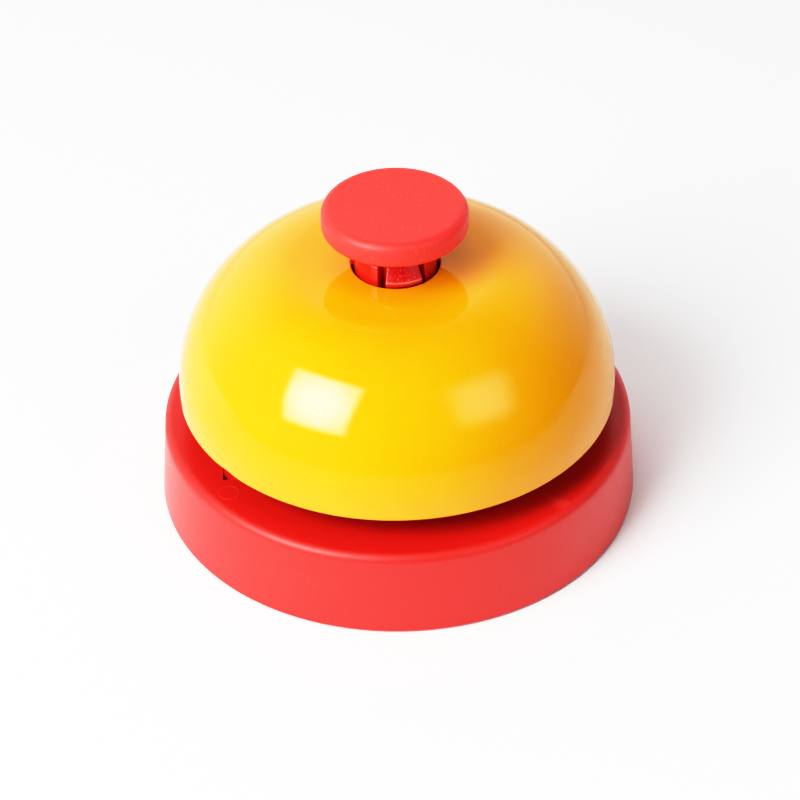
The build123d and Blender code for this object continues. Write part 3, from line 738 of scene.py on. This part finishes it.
def spring(name, r, wire, z0, z1, turns, dead=1.1, per=40, seg=14):
    """a compression spring with closed, flat-ground ends, as one tube"""
    total = turns + 2 * dead
    n = int(total * per)
    zs = []
    for i in range(n + 1):
        t = total * i / n
        if t < dead:
            z = z0 + wire + (2 * wire * 1.04) * (t / dead) * 0.92
        elif t > total - dead:
            z = z1 - wire - (2 * wire * 1.04) * ((total - t) / dead) * 0.92
        else:
            lo, hi = z0 + wire + 2 * wire * 0.957, z1 - wire - 2 * wire * 0.957
            u = (t - dead) / (total - 2 * dead)
            z = lo + (hi - lo) * u
        zs.append(z)
    # smooth the pitch where the dead coils open out
    for _ in range(10):
        zs = [zs[0]] + [(zs[i - 1] + zs[i] * 2 + zs[i + 1]) / 4 for i in range(1, n)] + [zs[-1]]
    pts = [Vector((r * cos(2 * pi * total * i / n), r * sin(2 * pi * total * i / n), zs[i])) for i in range(n + 1)]
    verts, faces = [], []
    for i, p in enumerate(pts):
        d = (pts[min(i + 1, n)] - pts[max(i - 1, 0)]).normalized()
        out = Vector((p.x, p.y, 0)).normalized()
        up = d.cross(out).normalized()
        out = up.cross(d).normalized()
        for k in range(seg):
            a = 2 * pi * k / seg
            q = p + (out * cos(a) + up * sin(a)) * wire
            q.z = min(max(q.z, z0 + 0.02), z1 - 0.02)
            verts.append(tuple(q))
    for i in range(n):
        for k in range(seg):
            k2 = (k + 1) % seg
            faces.append((i * seg + k, i * seg + k2, (i + 1) * seg + k2, (i + 1) * seg + k))
    faces.append(tuple(range(seg)))
    faces.append(tuple(n * seg + k for k in reversed(range(seg))))
    return verts, faces


v, f = spring("s", 4.45, 0.35, GUIDE_Z1, HEAD_Z0, 4.6)
spr = make("coil_spring", v, f, "base", SPRING, 60, ("return_spring",))
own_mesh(spr)

# ------------------------------------------------------------------ striker
arm_dir = Vector((-cos(radians(-22.5)), 0, sin(radians(-22.5))))
to_arm = Matrix.Translation(PIVOT) @ arm_dir.to_track_quat("Z", "Y").to_matrix().to_4x4()
L = 22.47
a_end = math.degrees(math.asin(3.2 / 3.8))
pts = [(3.8 * cos(radians(a)), L + 3.8 * sin(radians(a))) for a in [-a_end + (2 * a_end) * j / 56 for j in range(57)]]
# two fine turned grooves round the hammer's waist
grooved = []
for (r, z) in pts:
    for zz in (L - 0.9, L + 0.9):
        r -= 0.10 * math.exp(-((z - zz) / 0.16) ** 2)
    grooved.append((r, z))
v, f = lathe([(0, L - 3.2), (1.3, L - 3.2)] + grooved + [(0, L + 3.2)], 72, closed=False)
v = [tuple(to_arm @ Vector(p)) for p in v]
make("hammer_head", v, f, "striker", BRASS, 34, ("striker_head",))

rod = rounded([(0, 1.7), (1.25, 1.7, 0.15), (1.25, L - 3.1), (0, L - 3.1)], closed=False)
v, f = lathe(split_long(rod, 2.0, False), 32, closed=False)
v = [tuple(to_arm @ Vector(p)) for p in v]
make("hammer_rod", v, f, "striker", ZINC, 34, ("striker_arm",))

# ------------------------------------------------------------------ foot pads
for name, az in (("foot_pad_rear_right", 45), ("foot_pad_rear_left", 135), ("foot_pad_front_left", 225), ("foot_pad_front_right", 315)):
    fp = rounded([(0, 0), (4.5, 0, 0.4), (4.5, 1.7, 0.1), (0, 1.7)], closed=False)
    v, f = lathe(split_long(fp, 0.8, False), 72, closed=False,
                 offset=(31.0 * cos(radians(az)), 31.0 * sin(radians(az)), 0))
    make(name.replace("foot_pad", "foam_foot"), v, f, "base", FOAM, 40, (name,))

# ------------------------------------------------------------------ carried-over CAD nodes
for node, mat in (("bottom_cover", COVER_RED), ("post_screws", ZINC), ("seat_washer", FIBRE), ("striker_pin", ZINC), ("pin_caps", ZINC),
                  ("rest_pad", FOAM), ("stem_clip", ZINC), ("stop_washer", FIBRE), ("striker_rocker", ROCKER)):
    ob = NODES[node]
    ob.data.materials.clear()
    ob.data.materials.append(mat)

# ------------------------------------------------------------------ floor, world, lights, camera
F = Mat("studio_floor")
paper = F.noise(700, 4, 0.6, seed=3.3)
rr = F.radius()
sheet_white = F.mix(F.grey(paper, 0.3, 0.7, 0.0, 1.0), (0.895, 0.895, 0.895), (0.905, 0.905, 0.905))
# painted reflection: in reflections only, the floor a hand's width in front of the bell and away from it is painted
# near black, so the bell mirrors a dark band there; other rays see the white sheet
front = F.grey(F.z()[1], 0.04, -0.10, 0.0, 1.0)
reflection_shade_far = F.math("ADD", F.grey(rr, 0.060, 0.090, 0.0, 0.45), F.grey(rr, 0.10, 0.34, 0.0, 0.52))
glossy_only = F.nt.nodes.new("ShaderNodeLightPath").outputs["Is Glossy Ray"]
F.link(F.mix(F.math("MULTIPLY", glossy_only, F.math("MULTIPLY", front, reflection_shade_far)), sheet_white, (0.03, 0.03, 0.03)), "Base Color")
F.set(Roughness=0.7, Specular_IOR_Level=0.2)
FLOOR_R = 0.62
me = bpy.data.meshes.new("studio_floor")
me.from_pydata([(FLOOR_R * cos(2 * pi * k / 96), FLOOR_R * sin(2 * pi * k / 96), 0) for k in range(96)], [], [tuple(range(96))])
floor = bpy.data.objects.new("studio_floor", me)
me.materials.append(F.m)
bpy.context.scene.collection.objects.link(floor)

w = bpy.data.worlds.new("studio")
bpy.context.scene.world = w
w.use_nodes = True
nt = w.node_tree
nt.nodes.clear()
wo = nt.nodes.new("ShaderNodeOutputWorld")
bg = nt.nodes.new("ShaderNodeBackground")
tc = nt.nodes.new("ShaderNodeTexCoord")
sep = nt.nodes.new("ShaderNodeSeparateXYZ")
nt.links.new(tc.outputs["Generated"], sep.inputs[0])


def wmath(op, a, b=None, clamp=False):
    m = nt.nodes.new("ShaderNodeMath")
    m.operation = op
    m.use_clamp = clamp
    for i, q in enumerate((a, b)):
        if q is None:
            continue
        if isinstance(q, (int, float)):
            m.inputs[i].default_value = q
        else:
            nt.links.new(q, m.inputs[i])
    return m.outputs[0]


def wramp(x, lo, hi, a, b):
    m = nt.nodes.new("ShaderNodeMapRange")
    m.interpolation_type = "SMOOTHSTEP"
    nt.links.new(x, m.inputs[0])
    for i, q in zip((1, 2, 3, 4), (lo, hi, a, b)):
        m.inputs[i].default_value = q
    return m.outputs[0]


# a pale sweep behind, up to about 50 degrees, a paler wall on the left, and a dim studio overhead and in front
height = wramp(sep.outputs[2], 0.45, 0.88, 1.0, 0.0)
behind = wramp(sep.outputs[1], -0.05, 1.05, 0.0, 1.15)
left = wramp(sep.outputs[0], -0.95, -0.05, 0.34, 0.0)
leftfade = wramp(sep.outputs[2], 0.70, 1.0, 1.0, 0.25)
glow = wmath("ADD", wmath("MULTIPLY", height, behind), wmath("MULTIPLY", left, leftfade))
glow = wmath("ADD", glow, 0.07)
plain = nt.nodes.new("ShaderNodeLightPath").outputs["Is Camera Ray"]
glow = wmath("ADD", wmath("MULTIPLY", glow, wmath("SUBTRACT", 1.0, plain)), wmath("MULTIPLY", plain, 1.3))
nt.links.new(glow, bg.inputs["Strength"])
bg.inputs["Color"].default_value = (1, 1, 1, 1)
nt.links.new(bg.outputs[0], wo.inputs[0])


def area(name, centre, ux, uy, sx, sy, power_radiance, spread=180.0, gradient=None):
    """an area light whose local x and y are ux and uy, with a stated radiance"""
    ux = Vector(ux).normalized()
    uy = (Vector(uy) - ux * Vector(uy).dot(ux)).normalized()
    uz = ux.cross(uy)
    li = bpy.data.lights.new(name, "AREA")
    li.shape = "RECTANGLE"
    li.size, li.size_y = sx, sy
    li.energy = power_radiance * pi * sx * sy
    li.spread = radians(spread)
    if gradient:
        # a softbox is brighter near its middle and fades over its last few centimetres
        edge, corner = gradient
        li.use_nodes = True
        lt = li.node_tree
        em = next(n for n in lt.nodes if n.type == "EMISSION")
        par = lt.nodes.new("ShaderNodeNewGeometry").outputs["Parametric"]
        sp = lt.nodes.new("ShaderNodeSeparateXYZ")
        lt.links.new(par, sp.inputs[0])

        def lmath(op, a, b=None):
            m = lt.nodes.new("ShaderNodeMath")
            m.operation = op
            for i, q in enumerate((a, b)):
                if isinstance(q, (int, float)):
                    m.inputs[i].default_value = q
                elif q is not None:
                    lt.links.new(q, m.inputs[i])
            return m.outputs[0]

        def lramp(x, lo, hi, a, b):
            m = lt.nodes.new("ShaderNodeMapRange")
            m.interpolation_type = "SMOOTHSTEP"
            lt.links.new(x, m.inputs[0])
            for i, q in zip((1, 2, 3, 4), (lo, hi, a, b)):
                m.inputs[i].default_value = q
            return m.outputs[0]
        du = lmath("ABSOLUTE", lmath("SUBTRACT", sp.outputs[0], 0.5))
        dv = lmath("ABSOLUTE", lmath("SUBTRACT", sp.outputs[1], 0.5))
        rim = lmath("MULTIPLY", lramp(du, 0.5 - edge, 0.5, 1.0, 0.0), lramp(dv, 0.5 - edge, 0.5, 1.0, 0.0))
        rad = lmath("SQRT", lmath("ADD", lmath("MULTIPLY", du, du), lmath("MULTIPLY", dv, dv)))
        lt.links.new(lmath("MULTIPLY", rim, lramp(rad, 0.05, 0.72, 1.30, corner)), em.inputs["Strength"])
    ob = bpy.data.objects.new(name, li)
    M = Matrix((ux, uy, uz)).transposed().to_4x4()
    M.translation = Vector(centre)
    ob.matrix_world = M
    ob.visible_camera = False
    bpy.context.scene.collection.objects.link(ob)
    return ob


key = area("key_softbox", (-0.566, -0.494, 0.592), (0.757, -0.631, 0.135), (0.379, 0.488, 0.793), 0.675, 0.73, 11.3, gradient=(0.13, 0.36))
fill = area("fill_softbox", (0.590, -0.470, 0.555), (0.683, 0.689, -0.242), (-0.346, 0.529, 0.775), 0.72, 0.74, 1.75, gradient=(0.32, 0.40))
wash = area("overhead_wash", (-0.22, -0.12, 1.20), (1, 0, 0), (0, 1, 0), 0.8, 0.8, 1.95)
side = area("side_wash", (0.62, -0.45, 0.62), (0.683, 0.689, -0.242), (-0.346, 0.529, 0.775), 0.56, 0.60, 0.55)
wash.visible_glossy = side.visible_glossy = False

f_px, D, el, roll, u0, v0 = 2807.0, 0.510, radians(39.65), radians(-0.805), 398.51, 473.57
C = Vector((0, -D * cos(el), D * sin(el)))
fwd = -C.normalized()
right = Vector((1, 0, 0))
up = right.cross(fwd)
aa, bb = math.atan((u0 - 400) / f_px), math.atan((v0 - 400) / f_px)
M3 = Matrix((right, -up, fwd))
Ry = Matrix(((cos(aa), 0, sin(aa)), (0, 1, 0), (-sin(aa), 0, cos(aa))))
Rx = Matrix(((1, 0, 0), (0, cos(bb), sin(bb)), (0, -sin(bb), cos(bb))))
Rz = Matrix(((cos(roll), -sin(roll), 0), (sin(roll), cos(roll), 0), (0, 0, 1)))
R = Ry @ Rx @ Rz @ M3
cam_data = bpy.data.cameras.new("camera")
cam_data.sensor_width = 36.0
cam_data.sensor_fit = "HORIZONTAL"
cam_data.lens = f_px / 800.0 * 36.0
cam_data.clip_start = 0.01
cam_data.clip_end = 20.0
cam = bpy.data.objects.new("camera", cam_data)
CM = Matrix((R[0], -R[1], -R[2])).transposed().to_4x4()
CM.translation = C
cam.matrix_world = CM
bpy.context.scene.collection.objects.link(cam)
bpy.context.scene.camera = cam

bpy.context.scene.view_settings.view_transform = "Standard"
bpy.context.scene.view_settings.look = "None"
bpy.context.scene.view_settings.exposure = 0.0
# a gentle contrast curve on scene light, with a soft shoulder above white
vs = bpy.context.scene.view_settings
vs.use_curve_mapping = True
cm = vs.curve_mapping
cm.white_level = (2.0, 2.0, 2.0)
cm.extend = "HORIZONTAL"
tone = [(0.0, 0.0), (0.013, 0.0037), (0.045, 0.0195), (0.127, 0.091), (0.216, 0.188), (0.352, 0.376), (0.479, 0.590), (0.631, 0.765),
        (0.791, 0.875), (1.0, 0.945), (1.22, 0.985), (1.42, 1.0), (2.0, 1.0)]
c = cm.curves[3]
while len(c.points) < len(tone):
    c.points.new(0.5, 0.5)
for pt, (x, y) in zip(c.points, tone):
    pt.location = (x / 2.0, y)
    pt.handle_type = "AUTO_CLAMPED"
cm.update()
